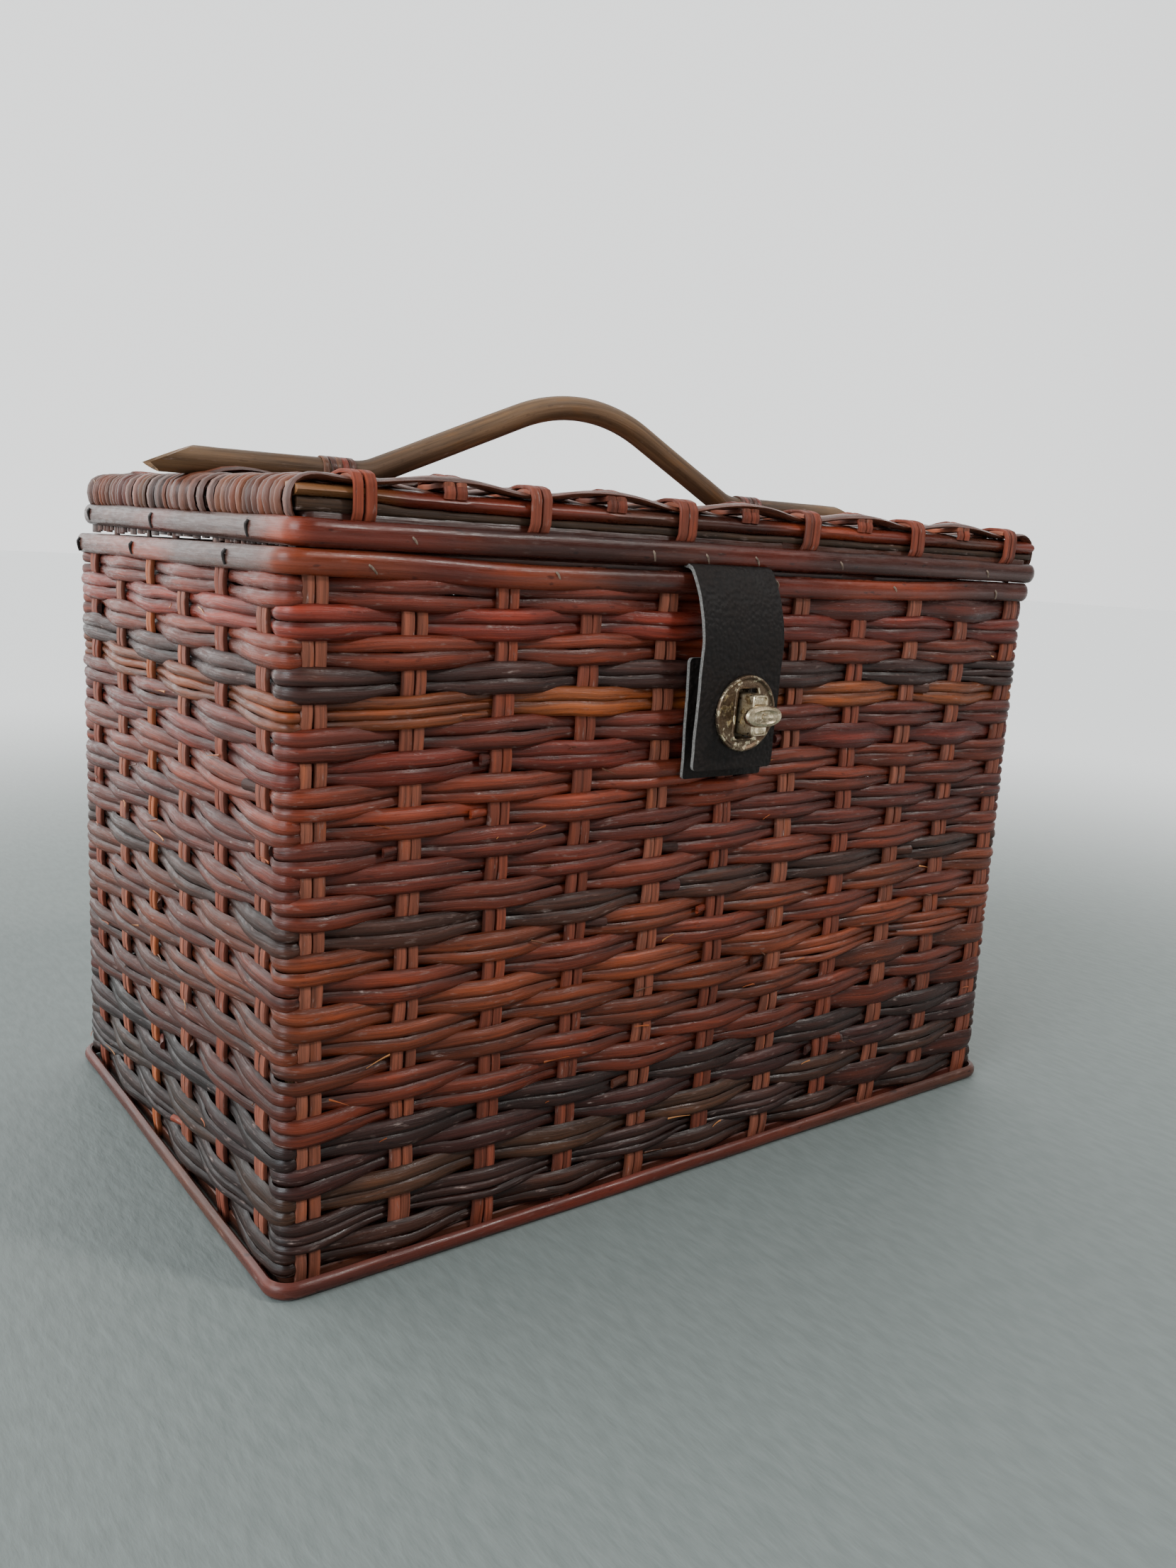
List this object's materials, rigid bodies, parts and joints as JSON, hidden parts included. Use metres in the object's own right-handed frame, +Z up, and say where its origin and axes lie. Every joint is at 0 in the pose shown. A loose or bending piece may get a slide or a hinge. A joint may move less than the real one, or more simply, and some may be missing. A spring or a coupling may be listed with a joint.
{
  "type": "wicker picnic hamper",
  "caption": "Rectangular woven willow hamper with a leather-hinged lid, bent cane handle along the lid, and a leather strap with a turn lock.",
  "frame": {"origin": "middle of the underside, on the surface the hamper stands on", "axes": "+Z up, +X to the right along the front, +Y to the back; the lock faces -Y"},
  "size_m": [0.3869, 0.2651, 0.3229],
  "materials": {
    "willow_weave": "satin stained willow skein",
    "willow_dark": "satin dark stained willow",
    "willow_stake": "matt stained flat willow strip",
    "rim_strip": "satin varnished half-round strip",
    "frame_stick": "satin stained split stick",
    "cane": "satin bent cane",
    "leather": "pebbled black-brown leather",
    "lock_metal": "worn plated metal",
    "wire_pin": "dulled wire"
  },
  "bodies": {
    "basket": {"base_panel": "willow_dark", "base_front_stick": "frame_stick", "base_back_stick": "frame_stick", "base_left_stick": "frame_stick", "base_right_stick": "frame_stick", "base_border": "rim_strip", "front_weave": "willow_weave", "back_weave": "willow_weave", "left_weave": "willow_weave", "right_weave": "willow_weave", "front_stakes": "willow_stake", "back_stakes": "willow_stake", "left_stakes": "willow_stake", "right_stakes": "willow_stake", "corner_post_front_left": "frame_stick", "corner_post_front_right": "frame_stick", "corner_post_back_left": "frame_stick", "corner_post_back_right": "frame_stick", "body_rim_outer": "rim_strip", "body_rim_inner": "rim_strip", "body_rim_pins": "wire_pin", "hinge_lower_left": "leather", "hinge_lower_right": "leather", "hinge_lower_nails": "lock_metal", "latch_tab": "leather", "latch_base": "lock_metal", "latch_rivets": "lock_metal", "latch_washer": "lock_metal"},
    "lid": {"lid_weave": "willow_weave", "lid_stakes": "willow_stake", "lid_left_wrap": "willow_weave", "lid_right_wrap": "willow_weave", "lid_front_bar": "frame_stick", "lid_back_bar": "frame_stick", "lid_left_bar": "frame_stick", "lid_right_bar": "frame_stick", "lid_front_lashings": "willow_stake", "lid_back_lashings": "willow_stake", "lid_rim_outer": "rim_strip", "lid_rim_inner": "rim_strip", "lid_rim_pins": "wire_pin", "handle": "cane", "handle_binding_left": "willow_stake", "handle_binding_right": "willow_stake", "hinge_upper_left": "leather", "hinge_upper_right": "leather", "hinge_upper_nails": "lock_metal", "strap_anchor": "leather"},
    "latch_strap_swing": {"latch_strap": "leather", "eyelet_plate": "lock_metal", "eyelet_back_plate": "lock_metal"},
    "turn_button_body": {"turn_button": "lock_metal"}
  },
  "joints": [
    {"name": "lid_hinge", "type": "hinge", "parent": "basket", "child": "lid", "pos_m": [0, 0.1211, 0.2524], "axis": [-1, 0, 0], "range_deg": [0, 105]},
    {"name": "strap_swing", "type": "hinge", "parent": "lid", "child": "latch_strap_swing", "pos_m": [-0.0085, -0.1215, 0.2502], "axis": [-1, 0, 0], "range_deg": [0, 134]},
    {"name": "button_turn", "type": "hinge", "parent": "basket", "child": "turn_button_body", "pos_m": [-0.0055, -0.139, 0.196], "axis": [0, 1, 0], "range_deg": [0, 90]}
  ]
}
